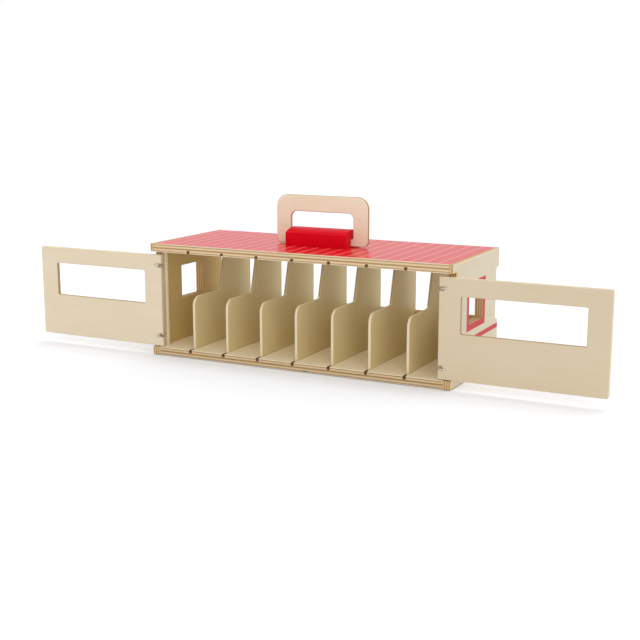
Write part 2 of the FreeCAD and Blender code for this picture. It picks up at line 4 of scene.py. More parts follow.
import bmesh
import bpy
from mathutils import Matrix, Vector


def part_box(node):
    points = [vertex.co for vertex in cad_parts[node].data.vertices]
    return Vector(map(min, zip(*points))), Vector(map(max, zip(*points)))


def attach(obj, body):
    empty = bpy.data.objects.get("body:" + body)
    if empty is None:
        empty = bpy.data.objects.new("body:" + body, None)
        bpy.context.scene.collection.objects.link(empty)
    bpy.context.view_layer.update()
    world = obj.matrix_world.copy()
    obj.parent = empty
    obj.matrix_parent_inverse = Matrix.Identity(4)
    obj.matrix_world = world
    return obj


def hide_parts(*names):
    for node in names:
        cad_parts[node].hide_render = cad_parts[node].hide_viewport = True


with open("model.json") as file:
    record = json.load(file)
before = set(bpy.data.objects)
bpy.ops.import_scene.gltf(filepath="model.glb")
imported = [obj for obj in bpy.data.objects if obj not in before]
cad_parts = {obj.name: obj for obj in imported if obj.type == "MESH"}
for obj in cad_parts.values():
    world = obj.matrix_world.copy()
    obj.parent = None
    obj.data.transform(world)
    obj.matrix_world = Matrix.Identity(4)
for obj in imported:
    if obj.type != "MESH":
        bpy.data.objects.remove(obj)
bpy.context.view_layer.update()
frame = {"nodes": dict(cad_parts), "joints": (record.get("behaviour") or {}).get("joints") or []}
nodes = frame["nodes"]


# Floor board
# A birch plywood sheet, grooved across for the dividers, standing between the end panels.
# The saw-cut front edge shows the glued veneers, with a small void here and there.

def from_screen(red, green, blue):
    """A colour as the eye reads it on a screen, 0 to 255, in the renderer's linear scale."""
    parts = [value / 255 for value in (red, green, blue)]
    return [v / 12.92 if v <= 0.04045 else ((v + 0.055) / 1.055) ** 2.4 for v in parts] + [1.0]


def feed(tree, socket, value):
    """Link another node's output to a socket, or set the socket's own number or colour."""
    if isinstance(value, bpy.types.NodeSocket):
        tree.links.new(value, socket)
    else:
        socket.default_value = value


def calc(tree, operation, first, second=0.0, third=0.0, clamp=False):
    """A sum or a comparison of up to three values."""
    node = tree.nodes.new("ShaderNodeMath")
    node.operation = operation
    node.use_clamp = clamp
    for socket, value in zip(node.inputs, (first, second, third)):
        feed(tree, socket, value)
    return node.outputs[0]


def ramp(tree, value, low, high, start=0.0, end=1.0):
    """A smooth step from start to end while the value goes from low to high."""
    node = tree.nodes.new("ShaderNodeMapRange")
    node.interpolation_type = "SMOOTHSTEP"
    for socket, number in zip(node.inputs, (value, low, high, start, end)):
        feed(tree, socket, number)
    return node.outputs[0]


def blend(tree, amount, under, over):
    """One colour laid over another by an amount, 0 to 1."""
    node = tree.nodes.new("ShaderNodeMix")
    node.data_type = "RGBA"
    for index, value in ((0, amount), (6, under), (7, over)):
        feed(tree, node.inputs[index], value)
    return node.outputs[2]


def stretch(tree, vector, along, across, through):
    """The position scaled by a different number on each axis of the sheet."""
    node = tree.nodes.new("ShaderNodeVectorMath")
    node.operation = "MULTIPLY"
    feed(tree, node.inputs[0], vector)
    node.inputs[1].default_value = (along, across, through)
    return node.outputs[0]


def grain_noise(tree, vector, detail=2.0, roughness=0.5, distortion=0.0):
    """Noise, 0 to 1, at a position that has been stretched to the size of the grain."""
    node = tree.nodes.new("ShaderNodeTexNoise")
    node.inputs["Scale"].default_value = 1.0
    node.inputs["Detail"].default_value = detail
    node.inputs["Roughness"].default_value = roughness
    node.inputs["Distortion"].default_value = distortion
    feed(tree, node.inputs["Vector"], vector)
    return node.outputs["Fac"]


def new_group(name, inputs, outputs):
    """An empty shader node group with named inputs and outputs."""
    group = bpy.data.node_groups.new(name, "ShaderNodeTree")
    for label, kind, value in inputs:
        socket = group.interface.new_socket(label, in_out="INPUT", socket_type=kind)
        if value is not None:
            socket.default_value = value
    for label, kind in outputs:
        group.interface.new_socket(label, in_out="OUTPUT", socket_type=kind)
    return group, group.nodes.new("NodeGroupInput").outputs, group.nodes.new("NodeGroupOutput").inputs


def split_place(tree):
    """The position on the piece, in metres: as one vector, and as its three separate values."""
    coordinate = tree.nodes.new("ShaderNodeTexCoord").outputs["Object"]
    split = tree.nodes.new("ShaderNodeSeparateXYZ")
    feed(tree, split.inputs[0], coordinate)
    return coordinate, split.outputs


FACE_WOOD, FACE_GRAIN = from_screen(232, 214, 184), from_screen(206, 178, 138)
LONG_GRAIN, LONG_STREAK = from_screen(230, 202, 160), from_screen(222, 194, 146)
END_GRAIN, END_PORE = from_screen(184, 150, 110), from_screen(166, 132, 92)
SANDED_EDGE, GLUE_LINE = from_screen(243, 226, 192), from_screen(140, 102, 62)
VOID_SHADE, GROOVE_SHADE_COLOUR = from_screen(58, 40, 26), from_screen(100, 62, 34)
GRAIN_DEPTH = 0.00012


def birch_plywood_group():
    """Rotary-cut birch on the faces, bands of long grain and end grain with glue lines on the edges."""
    group, given, wanted = new_group(
        "birch_plywood",
        [("Position", "NodeSocketVector", None), ("Thickness", "NodeSocketFloat", 0.009),
         ("Plies", "NodeSocketFloat", 7.0), ("First Layer", "NodeSocketFloat", 0.0),
         ("Banding", "NodeSocketFloat", 1.0), ("Voids", "NodeSocketFloat", 0.0),
         ("Groove", "NodeSocketFloat", 0.0), ("Face Colour", "NodeSocketColor", FACE_WOOD),
         ("Edge Colour", "NodeSocketColor", LONG_GRAIN), ("End Grain Colour", "NodeSocketColor", END_GRAIN)],
        [("Colour", "NodeSocketColor"), ("Roughness", "NodeSocketFloat"), ("Height", "NodeSocketFloat")])
    position = given["Position"]
    axes = group.nodes.new("ShaderNodeSeparateXYZ")
    feed(group, axes.inputs[0], position)
    depth = calc(group, "DIVIDE", axes.outputs[2], given["Thickness"])
    layers = calc(group, "MULTIPLY", depth, given["Plies"])
    within = calc(group, "FRACT", layers)
    layer = calc(group, "ADD", calc(group, "FLOOR", layers), given["First Layer"])
    odd = calc(group, "GREATER_THAN", calc(group, "PINGPONG", layer, 1.0), 0.5)
    from_face = calc(group, "ABSOLUTE", calc(group, "SUBTRACT", depth, 0.5))
    on_face = ramp(group, from_face, 0.40, 0.43)

    cathedral = grain_noise(group, stretch(group, position, 5.0, 42.0, 20.0), 3.0, 0.55, 0.6)
    rings = calc(group, "PINGPONG", calc(group, "MULTIPLY", cathedral, 9.0), 0.5)
    fine = grain_noise(group, stretch(group, position, 55.0, 1500.0, 300.0), 2.0)
    cloud = grain_noise(group, stretch(group, position, 9.0, 22.0, 10.0), 2.0)
    fleck = ramp(group, grain_noise(group, stretch(group, position, 240.0, 1900.0, 300.0), 1.0), 0.66, 0.74)
    tone = calc(group, "ADD", calc(group, "MULTIPLY", rings, 0.16), calc(group, "MULTIPLY", fine, 0.16))
    tone = calc(group, "ADD", tone, calc(group, "MULTIPLY", cloud, 0.30))
    tone = calc(group, "ADD", tone, calc(group, "MULTIPLY", fleck, 0.10))
    grained = blend(group, calc(group, "SUBTRACT", tone, 0.10, clamp=True), given["Face Colour"], FACE_GRAIN)

    streaks = grain_noise(group, stretch(group, position, 90.0, 90.0, 2600.0), 3.0)
    pores = grain_noise(group, stretch(group, position, 1400.0, 1400.0, 1400.0), 2.0, 0.7)
    sanded_edge = blend(group, given["Banding"], SANDED_EDGE, given["Edge Colour"])
    long_grain = blend(group, calc(group, "MULTIPLY", streaks, 0.4), sanded_edge, LONG_STREAK)
    end_grain = blend(group, ramp(group, pores, 0.35, 0.75), given["End Grain Colour"], END_PORE)
    banding = calc(group, "MULTIPLY", odd, given["Banding"])
    banded = blend(group, banding, long_grain, end_grain)
    rim = calc(group, "ABSOLUTE", calc(group, "SUBTRACT", within, 0.5))
    glue = calc(group, "MULTIPLY", ramp(group, rim, 0.38, 0.5, 0.0, 0.10), given["Banding"])
    banded = blend(group, glue, banded, GLUE_LINE)
    # The voids are colour only: their dark is painted shade in the hollow.
    gap_noise = grain_noise(group, stretch(group, position, 46.0, 46.0, 260.0), 0.0)
    cavity = calc(group, "MULTIPLY", ramp(group, gap_noise, 0.74, 0.77), odd)
    gap = calc(group, "MULTIPLY", cavity, given["Voids"])
    banded = blend(group, gap, banded, VOID_SHADE)

    wood = blend(group, on_face, banded, grained)
    # The Groove input lays painted shade over the wood.
    feed(group, wanted["Colour"], blend(group, given["Groove"], wood, GROOVE_SHADE_COLOUR))
    feed(group, wanted["Roughness"], calc(group, "ADD", 0.50, calc(group, "MULTIPLY", tone, 0.25)))
    face_height = calc(group, "SUBTRACT", 0.6, calc(group, "MULTIPLY", tone, 0.5))
    edge_height = calc(group, "SUBTRACT", 0.7, calc(group, "MULTIPLY", glue, 0.6))
    edge_height = calc(group, "SUBTRACT", edge_height, gap)
    edge_height = calc(group, "SUBTRACT", edge_height, calc(group, "MULTIPLY", pores, 0.3))
    turned = group.nodes.new("ShaderNodeMix")
    for index, value in ((0, on_face), (2, edge_height), (3, face_height)):
        feed(group, turned.inputs[index], value)
    feed(group, wanted["Height"], turned.outputs[0])
    return group


birch_plywood = birch_plywood_group()


def sheet_position(tree, axes, corner, seed):
    """Position on a sheet in metres: along the face grain, across it, and through the thickness.
    The seed moves each sheet to a place of its own in the grain."""
    coordinate = tree.nodes.new("ShaderNodeTexCoord").outputs["Object"]
    moved = tree.nodes.new("ShaderNodeVectorMath")
    moved.operation = "SUBTRACT"
    feed(tree, moved.inputs[0], coordinate)
    moved.inputs[1].default_value = corner
    split = tree.nodes.new("ShaderNodeSeparateXYZ")
    feed(tree, split.inputs[0], moved.outputs[0])
    joined = tree.nodes.new("ShaderNodeCombineXYZ")
    for socket, axis in zip(joined.inputs, axes):
        feed(tree, socket, split.outputs["XYZ".index(axis)])
    shifted = tree.nodes.new("ShaderNodeVectorMath")
    shifted.operation = "ADD"
    feed(tree, shifted.inputs[0], joined.outputs[0])
    shifted.inputs[1].default_value = (0.37 * seed, 0.83 * seed, 0.0)
    return shifted.outputs[0]


def new_material(name):
    """A material with that name, the tree of its nodes, and its shader."""
    material = bpy.data.materials.new(name)
    material.use_nodes = True
    tree = material.node_tree
    return material, tree, tree.nodes["Principled BSDF"]


def bumped(tree, shader, height, depth):
    """Let a height, 0 to 1, raise the surface by a depth in metres."""
    bump = tree.nodes.new("ShaderNodeBump")
    bump.inputs["Strength"].default_value = 1.0
    bump.inputs["Distance"].default_value = depth
    feed(tree, bump.inputs["Height"], height)
    feed(tree, shader.inputs["Normal"], bump.outputs[0])


def dress(node, material):
    """Give a piece its material in place of the plain one it was packed with."""
    nodes[node].data.materials.clear()
    nodes[node].data.materials.append(material)


def board(node, axes, plies, seed, face=FACE_WOOD, banding=1.0, voids=0.0):
    """Dress a flat board in bare sanded plywood; its thickness and corner come from the piece itself."""
    low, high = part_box(node)
    through = "XYZ".index(axes[2])
    material, tree, shader = new_material(f"birch_{node}")
    sheet = tree.nodes.new("ShaderNodeGroup")
    sheet.node_tree = birch_plywood
    feed(tree, sheet.inputs["Position"], sheet_position(tree, axes, low, seed))
    sheet.inputs["Thickness"].default_value = high[through] - low[through]
    sheet.inputs["Plies"].default_value = plies
    sheet.inputs["Banding"].default_value = banding
    sheet.inputs["Voids"].default_value = voids
    sheet.inputs["Face Colour"].default_value = face
    feed(tree, shader.inputs["Base Color"], sheet.outputs["Colour"])
    feed(tree, shader.inputs["Roughness"], sheet.outputs["Roughness"])
    bumped(tree, shader, sheet.outputs["Height"], GRAIN_DEPTH)
    dress(node, material)
    return tree, shader, sheet


def edge_colours(sheet, long_grain, end_grain):
    """Colours of a sheet's cut edges: layers seen along their grain, and layers seen end on."""
    sheet.inputs["Edge Colour"].default_value = long_grain
    sheet.inputs["End Grain Colour"].default_value = end_grain


# Painted shade in the divider grooves: GROOVE_SHADE_COLOUR, laid on by CUT_SHADE.
CUT_MARGIN = 0.0003
CUT_SHADE = 0.7

dividers = sorted(name for name in nodes if name.startswith("divider_"))
divider_low, divider_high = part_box(dividers[0])
stall_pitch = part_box(dividers[1])[0].x - divider_low.x


def groove_shade(tree, sheet, face_height):
    """Painted shade in the saw cuts where the dividers stand, from the distance to the nearest divider."""
    half_width = (divider_high.x - divider_low.x) / 2 + CUT_MARGIN
    depth = min(abs(face_height - corner.z) for corner in (divider_low, divider_high)) + CUT_MARGIN
    _, (along, _, up) = split_place(tree)
    in_width = calc(tree, "LESS_THAN", calc(tree, "PINGPONG", along, stall_pitch / 2), half_width)
    in_row = calc(tree, "LESS_THAN", calc(tree, "ABSOLUTE", along), stall_pitch * len(dividers) / 2)
    below = calc(tree, "ABSOLUTE", calc(tree, "SUBTRACT", up, face_height))
    in_depth = calc(tree, "LESS_THAN", below, depth)
    inside = calc(tree, "MULTIPLY", calc(tree, "MULTIPLY", in_width, in_row), in_depth)
    feed(tree, sheet.inputs["Groove"], calc(tree, "MULTIPLY", inside, CUT_SHADE))


# Paler than the other boards: painted light on the stall floors under the roof.
LIT_FLOOR_FACE = from_screen(249, 235, 203)

tree, shader, sheet = board("floor_panel", "YXZ", 5, 1.0, LIT_FLOOR_FACE, voids=1.0)
sheet.inputs["First Layer"].default_value = 1.0
edge_colours(sheet, from_screen(218, 190, 146), from_screen(164, 130, 88))
groove_shade(tree, sheet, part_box("floor_panel")[1].z)


# End panels
# Birch plywood boards cut back at the front and rear, with a window each.
# A plain red border round the window and a red stripe below it are printed on the outer face.

# The inner face is painted darker and yellower than the outer: painted shade and bounced light inside the
# stalls.
SHADED_INNER_FACE, OUTER_VENEER = from_screen(212, 183, 118), from_screen(219, 209, 186)
PRINT_RED, THIN_INK = from_screen(198, 22, 30), from_screen(232, 120, 120)
PRINT_DEPTH = 0.0003
EDGE_WANDER, EDGE_FADE = 0.0003, 0.00012
BORDER = 0.0065
STRIPE_LOW, STRIPE_HIGH = 0.0382, 0.0433
END_WINDOW_FRONT, END_WINDOW_REAR = -0.02345, 0.02005
END_WINDOW_SILL, END_WINDOW_TOP = 0.0571, 0.0946


def printed_ink_group():
    """Ink laid over wood: a ragged edge, thin spots, and the ink's own sheen."""
    group, given, wanted = new_group(
        "printed_ink",
        [("Position", "NodeSocketVector", None), ("Distance", "NodeSocketFloat", 0.0),
         ("Wood", "NodeSocketColor", None), ("Ink", "NodeSocketColor", PRINT_RED),
         ("Wood Roughness", "NodeSocketFloat", 0.5), ("Ink Roughness", "NodeSocketFloat", 0.3)],
        [("Colour", "NodeSocketColor"), ("Roughness", "NodeSocketFloat")])
    ragged = grain_noise(group, stretch(group, given["Position"], 1800.0, 1800.0, 1800.0), 2.0)
    wander = calc(group, "MULTIPLY", calc(group, "SUBTRACT", ragged, 0.5), EDGE_WANDER)
    mask = ramp(group, calc(group, "ADD", given["Distance"], wander), -EDGE_FADE, EDGE_FADE)
    thin = grain_noise(group, stretch(group, given["Position"], 30.0, 900.0, 30.0), 3.0, 0.6)
    ink = blend(group, ramp(group, thin, 0.45, 0.85, 0.0, 0.16), given["Ink"], THIN_INK)
    feed(group, wanted["Colour"], blend(group, mask, given["Wood"], ink))
    spread = calc(group, "SUBTRACT", given["Ink Roughness"], given["Wood Roughness"])
    feed(group, wanted["Roughness"], calc(group, "MULTIPLY_ADD", mask, spread, given["Wood Roughness"]))
    return group


printed_ink = printed_ink_group()


def ink_over(tree, shader, sheet, coordinate, distance, ink_roughness, colour):
    """Put printed ink over a plywood material where the distance inside the print is positive."""
    ink = tree.nodes.new("ShaderNodeGroup")
    ink.node_tree = printed_ink
    feed(tree, ink.inputs["Position"], coordinate)
    feed(tree, ink.inputs["Distance"], distance)
    feed(tree, ink.inputs["Wood"], sheet.outputs["Colour"])
    feed(tree, ink.inputs["Ink"], colour)
    feed(tree, ink.inputs["Wood Roughness"], sheet.outputs["Roughness"])
    ink.inputs["Ink Roughness"].default_value = ink_roughness
    feed(tree, shader.inputs["Base Color"], ink.outputs["Colour"])
    feed(tree, shader.inputs["Roughness"], ink.outputs["Roughness"])


def inside_span(tree, value, low, high):
    """How far a value lies inside a span, negative outside it."""
    return calc(tree, "MINIMUM", calc(tree, "SUBTRACT", value, low), calc(tree, "SUBTRACT", high, value))


for node, side, seed in (("left_end_panel", -1, 2.0), ("right_end_panel", 1, 3.0)):
    tree, shader, sheet = board(node, "YZX", 7, seed)
    edge_colours(sheet, from_screen(222, 188, 136), from_screen(180, 141, 92))
    coordinate, (along, across, up) = split_place(tree)
    in_width = inside_span(tree, across, END_WINDOW_FRONT - BORDER, END_WINDOW_REAR + BORDER)
    in_height = inside_span(tree, up, END_WINDOW_SILL - BORDER, END_WINDOW_TOP + BORDER)
    border = calc(tree, "MINIMUM", in_width, in_height)
    stripe = inside_span(tree, up, STRIPE_LOW, STRIPE_HIGH)
    inner_face, outer_face = sorted(abs(corner.x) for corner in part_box(node))
    outward = calc(tree, "MULTIPLY", along, side)
    outer_half = calc(tree, "GREATER_THAN", outward, (inner_face + outer_face) / 2)
    feed(tree, sheet.inputs["Face Colour"], blend(tree, outer_half, SHADED_INNER_FACE, OUTER_VENEER))
    on_outside = calc(tree, "SUBTRACT", outward, outer_face - PRINT_DEPTH)
    printed = calc(tree, "MINIMUM", calc(tree, "MAXIMUM", border, stripe), on_outside)
    ink_over(tree, shader, sheet, coordinate, printed, 0.42, PRINT_RED)
    shader.inputs["Specular IOR Level"].default_value = 0.2


# Hinge posts
# Square strips of solid birch glued inside the front corners, drilled for the hinge eyes.
# The grain runs up the strip.

for node, seed in (("left_hinge_post", 4.0), ("right_hinge_post", 5.0)):
    board(node, "ZXY", 1, seed, banding=0.0)


# Back wall
# A thin plywood board between the end panels, low enough to reach over.
# Its top edge is sanded round.

board("back_panel", "XZY", 3, 6.0, from_screen(231, 212, 171), 0.3)


# Stall dividers
# Three-ply boards in grooves of the floor and roof, low and round-shouldered in front.
# The face grain stands upright; the front edges are sanded pale, those above the shoulder left sawn and
# darker, partly painted shade under the roof.

# Yellower than the other boards: painted light, bounced between the wooden stall walls.
STALL_WOOD = from_screen(229, 212, 161)
SANDED_TOP, SAWN_AND_SHADED_FROM = 0.0680, 0.0715
SANDED_BANDING = 0.08

for seed, node in enumerate(dividers, 8):
    tree, shader, sheet = board(node, "ZYX", 3, seed, STALL_WOOD)
    # Edge colours darkened with painted shade under the roof; they show above the shoulder.
    edge_colours(sheet, from_screen(202, 182, 152), from_screen(188, 162, 128))
    _, (_, _, up) = split_place(tree)
    feed(tree, sheet.inputs["Banding"], ramp(tree, up, SANDED_TOP, SAWN_AND_SHADED_FROM, SANDED_BANDING, 1.0))


# Roof
# A plywood board let into the end panels, printed red on top with thin pale plank lines.
# The lines run from front to back, three to a stall, and the eased edges are bare wood.

LINES_PER_STALL = 3
LINE_WIDTH = 0.0010
LINE_OFFSET = 0.0045
ROOF_RED, LINE_PINK = from_screen(218, 14, 28), from_screen(242, 162, 152)
BARE_EDGE = 0.0012

roof_low, roof_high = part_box("roof_panel")
tree, shader, sheet = board("roof_panel", "YXZ", 5, 16.0)
sheet.inputs["First Layer"].default_value = 1.0
groove_shade(tree, sheet, roof_low.z)
coordinate, (along, across, up) = split_place(tree)
from_first = calc(tree, "SUBTRACT", along, LINE_OFFSET)
from_line = calc(tree, "PINGPONG", from_first, stall_pitch / LINES_PER_STALL / 2)
on_line = ramp(tree, from_line, LINE_WIDTH * 0.35, LINE_WIDTH * 0.65, 1.0, 0.0)
from_edge = calc(tree, "SUBTRACT", roof_high.y - BARE_EDGE, calc(tree, "ABSOLUTE", across))
on_top = calc(tree, "SUBTRACT", up, roof_high.z - PRINT_DEPTH)
printed = calc(tree, "MINIMUM", from_edge, on_top)
ink_over(tree, shader, sheet, coordinate, printed, 0.24, blend(tree, on_line, ROOF_RED, LINE_PINK))
shader.inputs["Specular IOR Level"].default_value = 0.25


# Doors
# Five-millimetre plywood boards with a wide window, notched at the hinges.
# Shown swung flat open; the outer edges are sanded pale and the windows left sawn brown.

DOOR_STILE, DOOR_TOP_RAIL, DOOR_WINDOW_HEIGHT = 0.0223, 0.0182, 0.0373
SAW_MARGIN = 0.0004
# The right door's face is painted darker than the left's: painted shade, as less light falls on it.
LEFT_FACE, SHADED_RIGHT_FACE = from_screen(231, 216, 188), from_screen(218, 201, 171)
SANDED_LONG, SANDED_END = from_screen(240, 225, 194), from_screen(226, 206, 168)
SAWN_LONG, SAWN_END = from_screen(186, 156, 114), from_screen(138, 106, 70)

for node, seed, face in (("left_door", 17.0, LEFT_FACE), ("right_door", 18.0, SHADED_RIGHT_FACE)):
    tree, shader, sheet = board(node, "XZY", 5, seed, face)
    low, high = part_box(node)
    window_top = high.z - DOOR_TOP_RAIL + SAW_MARGIN
    window_sill = high.z - DOOR_TOP_RAIL - DOOR_WINDOW_HEIGHT - SAW_MARGIN
    beside_window = DOOR_STILE - SAW_MARGIN
    _, (along, _, up) = split_place(tree)
    in_width = inside_span(tree, along, low.x + beside_window, high.x - beside_window)
    in_height = inside_span(tree, up, window_sill, window_top)
    sawn = calc(tree, "GREATER_THAN", calc(tree, "MINIMUM", in_width, in_height), 0.0)
    feed(tree, sheet.inputs["Edge Colour"], blend(tree, sawn, SANDED_LONG, SAWN_LONG))
    feed(tree, sheet.inputs["End Grain Colour"], blend(tree, sawn, SANDED_END, SAWN_END))


# Hinge eyes
# Rings of bright steel wire on a straight shank, driven into the hinge posts.
# Two to a door; the door's hinge wire turns in the ring.

WIRE_RADIUS = 0.00065
RING_RADIUS = 0.00136
RING_STEPS = 36
WIRE_STEPS, BEND_STEPS = 20, 8
BRIGHT_STEEL, DULL_STEEL = from_screen(240, 238, 233), from_screen(214, 210, 202)
SCRATCH_DEPTH = 0.00002


def bright_wire():
    """Drawn steel wire: fine scratches along it and duller patches from handling."""
    material, tree, shader = new_material("bright_steel_wire")
    coordinate, _ = split_place(tree)
    scratches = grain_noise(tree, stretch(tree, coordinate, 900.0, 900.0, 2600.0), 3.0, 0.6)
    patches = grain_noise(tree, stretch(tree, coordinate, 260.0, 260.0, 260.0), 2.0)
    handled = ramp(tree, patches, 0.4, 0.7)
    feed(tree, shader.inputs["Base Color"], blend(tree, handled, BRIGHT_STEEL, DULL_STEEL))
    shader.inputs["Metallic"].default_value = 1.0
    feed(tree, shader.inputs["Roughness"], calc(tree, "MULTIPLY_ADD", scratches, 0.2, 0.28))
    bumped(tree, shader, scratches, SCRATCH_DEPTH)
    return material


steel_wire = bright_wire()


def wire_tree():
    """Nodes that turn a jointed line into round wire with bends of a given radius."""
    tree = bpy.data.node_groups.new("bent_wire", "GeometryNodeTree")
    tree.interface.new_socket("Route", in_out="INPUT", socket_type="NodeSocketGeometry")
    for label in ("Wire Radius", "Bend Radius"):
        tree.interface.new_socket(label, in_out="INPUT", socket_type="NodeSocketFloat")
    tree.interface.new_socket("Metal", in_out="INPUT", socket_type="NodeSocketMaterial")
    tree.interface.new_socket("Wire", in_out="OUTPUT", socket_type="NodeSocketGeometry")
    given = tree.nodes.new("NodeGroupInput").outputs
    wanted = tree.nodes.new("NodeGroupOutput").inputs
    line = tree.nodes.new("GeometryNodeMeshToCurve")
    bend = tree.nodes.new("GeometryNodeFilletCurve")
    section = tree.nodes.new("GeometryNodeCurvePrimitiveCircle")
    tube = tree.nodes.new("GeometryNodeCurveToMesh")
    smooth = tree.nodes.new("GeometryNodeSetShadeSmooth")
    real = tree.nodes.new("GeometryNodeRealizeInstances")
    metal = tree.nodes.new("GeometryNodeSetMaterial")
    bend.mode = "POLY"
    bend.inputs["Count"].default_value = BEND_STEPS
    bend.inputs["Limit Radius"].default_value = True
    section.inputs["Resolution"].default_value = WIRE_STEPS
    tube.inputs["Fill Caps"].default_value = True
    for source, target in (
            (given["Route"], line.inputs["Mesh"]), (line.outputs["Curve"], bend.inputs["Curve"]),
            (given["Bend Radius"], bend.inputs["Radius"]), (bend.outputs["Curve"], tube.inputs["Curve"]),
            (given["Wire Radius"], section.inputs["Radius"]),
            (section.outputs["Curve"], tube.inputs["Profile Curve"]),
            (tube.outputs["Mesh"], smooth.inputs["Geometry"]),
            (smooth.outputs["Geometry"], real.inputs["Geometry"]),
            (real.outputs["Geometry"], metal.inputs["Geometry"]), (given["Metal"], metal.inputs["Material"]),
            (metal.outputs["Geometry"], wanted["Wire"])):
        tree.links.new(source, target)
    return tree


bent_wire = wire_tree()


def baked(name, mesh, tree, settings):
    """Run a node tree on a mesh and keep the result as a plain mesh object of that name."""
    maker = bpy.data.objects.new(f"{name}_maker", mesh)
    bpy.context.scene.collection.objects.link(maker)
    modifier = maker.modifiers.new(name, "NODES")
    modifier.node_group = tree
    for item in tree.interface.items_tree:
        if item.in_out == "INPUT" and item.name in settings:
            modifier[item.identifier] = settings[item.name]
    bpy.context.view_layer.update()
    result = maker.evaluated_get(bpy.context.evaluated_depsgraph_get())
    plain = bpy.data.meshes.new_from_object(result)
    bpy.data.objects.remove(maker)
    piece = bpy.data.objects.new(name, plain)
    bpy.context.scene.collection.objects.link(piece)
    return piece


def routes_mesh(name, routes):
    """One mesh of jointed lines; a route that ends where it starts is a ring."""
    points, edges = [], []
    for route in routes:
        first = len(points)
        ring = (route[0] - route[-1]).length < 1e-9
        stops = route[:-1] if ring else route
        points.extend(stops)
        edges.extend((first + i, first + i + 1) for i in range(len(stops) - 1))
        if ring:
            edges.append((first + len(stops) - 1, first))
    mesh = bpy.data.meshes.new(name)
    mesh.from_pydata([tuple(point) for point in points], edges, [])
    return mesh


hinges = [joint for joint in frame["joints"] if joint["name"].endswith("door_hinge")]
hinge_axes = {joint["child"]: Vector(joint["pos_m"]) for joint in hinges}
wire_settings = {"Wire Radius": WIRE_RADIUS, "Metal": steel_wire}
eye_nodes = [name for name in nodes if name.endswith("hinge_eye")]
eye_routes = []
for name in eye_nodes:
    low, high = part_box(name)
    axis = hinge_axes["left_door" if name.startswith("left") else "right_door"]
    centre = Vector((axis.x, axis.y, (low.z + high.z) / 2))
    turns = [2 * math.pi * step / RING_STEPS for step in range(RING_STEPS)]
    ring = [centre + Vector((math.cos(turn), math.sin(turn), 0)) * RING_RADIUS for turn in turns]
    eye_routes.append(ring + [ring[0].copy()])
    eye_routes.append([centre + Vector((0, RING_RADIUS, 0)), Vector((axis.x, high.y, centre.z))])
hinge_eyes = baked("hinge_eyes", routes_mesh("hinge_eyes", eye_routes), bent_wire,
                   {**wire_settings, "Bend Radius": 0.0})
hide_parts(*eye_nodes)
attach(hinge_eyes, "stable")


# Hinge wires
# Steel wire bent round each door's edge: a pin in the eye, an arm along the inner face.
# The tip is turned into the door and driven home.

BEND_RADIUS = 0.001
TIP_DEPTH = 0.003

for door in ("left_door", "right_door"):
    axis = hinge_axes[door]
    hand = door.split("_")[0]
    wire_nodes = [name for name in nodes if name.startswith(hand) and name.endswith("hinge_wire")]
    routes = []
    for name in wire_nodes:
        low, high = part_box(name)
        outward = 1 if door == "right_door" else -1
        arm_end = (high.x if outward == 1 else low.x) - outward * WIRE_RADIUS
        arm_y = low.y + WIRE_RADIUS
        upper = "upper" in name
        arm_z = high.z - WIRE_RADIUS if upper else low.z + WIRE_RADIUS
        pin_z = low.z if upper else high.z
        tip_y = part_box(door)[0].y + TIP_DEPTH
        routes.append([
            Vector((axis.x, axis.y, pin_z)), Vector((axis.x, axis.y, arm_z)), Vector((axis.x, arm_y, arm_z)),
            Vector((arm_end, arm_y, arm_z)), Vector((arm_end, tip_y, arm_z))])
    piece_name = door.replace("door", "hinge_wires")
    wires = baked(piece_name, routes_mesh(piece_name, routes), bent_wire,
                  {**wire_settings, "Bend Radius": BEND_RADIUS})
    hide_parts(*wire_nodes)
    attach(wires, door)


# Handle loop
# A plywood ring that folds down on its lower bar, eased on every edge.
# The face grain runs along the grip, and the cut edges are browned.

LOOP_FACE = from_screen(248, 236, 208)

tree, shader, sheet = board("handle_loop", "XZY", 3, 19.0, LOOP_FACE)
edge_colours(sheet, from_screen(190, 150, 108), from_screen(132, 94, 62))


# Saddle block
# Solid wood with a rounded top, painted red and screwed down over the loop's lower bar.
# The satin paint is thin enough for the grain to show.

FRESH_PAINT, WORN_PAINT = from_screen(222, 6, 30), from_screen(212, 4, 28)
PAINT_GRAIN = from_screen(170, 4, 20)
PAINTED_GRAIN_DEPTH = 0.00008


def red_painted_wood():
    """Red paint over solid wood, a little darker in the hollows of the grain."""
    material, tree, shader = new_material("red_painted_wood")
    position = sheet_position(tree, "XYZ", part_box("handle_block")[0], 20.0)
    grain = grain_noise(tree, stretch(tree, position, 25.0, 520.0, 520.0), 3.0, 0.6)
    cloud = grain_noise(tree, stretch(tree, position, 30.0, 60.0, 60.0), 2.0)
    paint = blend(tree, ramp(tree, cloud, 0.3, 0.7), FRESH_PAINT, WORN_PAINT)
    paint = blend(tree, ramp(tree, grain, 0.55, 0.8, 0.0, 0.12), paint, PAINT_GRAIN)
    feed(tree, shader.inputs["Base Color"], paint)
    feed(tree, shader.inputs["Roughness"], calc(tree, "MULTIPLY_ADD", grain, 0.14, 0.22))
    shader.inputs["Specular IOR Level"].default_value = 0.05
    bumped(tree, shader, grain, PAINTED_GRAIN_DEPTH)
    return material


dress("handle_block", red_painted_wood())


# Handle screws
# Four countersunk steel wood screws, up through the roof into the saddle block.
# Each head has a cross recess and sits flush under the roof.

SCREW_RADIUS = 0.0015
HEAD_RADIUS = 0.003
HEAD_RIM, HEAD_HEIGHT = 0.0002, 0.0015
SCREW_LENGTH = 0.019
POINT_LENGTH, POINT_RADIUS = 0.002, 0.0003
SCREW_STEPS = 32
RECESS_REACH, RECESS_HALF_WIDTH, RECESS_DEPTH = 0.0016, 0.00042, 0.0010
RECESS_TAPER = 0.75
BRIGHT_ZINC, DULL_ZINC = from_screen(200, 202, 205), from_screen(158, 160, 164)


